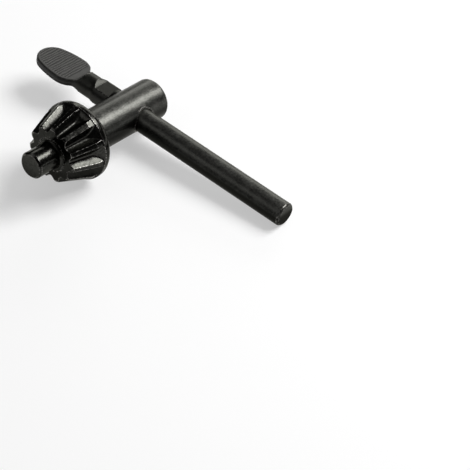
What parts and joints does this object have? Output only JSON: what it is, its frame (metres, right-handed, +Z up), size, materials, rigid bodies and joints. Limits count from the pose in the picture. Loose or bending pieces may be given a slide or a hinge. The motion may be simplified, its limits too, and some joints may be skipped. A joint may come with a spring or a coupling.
{
  "type": "drill chuck key",
  "caption": "Key with a round pilot, a toothed bevel pinion, a plain shank and a cross bar with a ribbed thumb paddle, for turning the geared sleeve of a drill chuck.",
  "frame": {"origin": "middle of the bounding box's footprint, on the table that the key lies on", "axes": "+Y along the cross bar, seen from above, towards its plain end; +X towards the pilot; +Z up"},
  "size_m": [0.0582, 0.107, 0.0265],
  "materials": {
    "key_body": "blackened and oiled, satin with glossy teeth",
    "cross_bar": "blackened and oiled, satin"
  },
  "bodies": {
    "root": {"key_body": "key_body", "cross_bar": "cross_bar"}
  },
  "joints": []
}
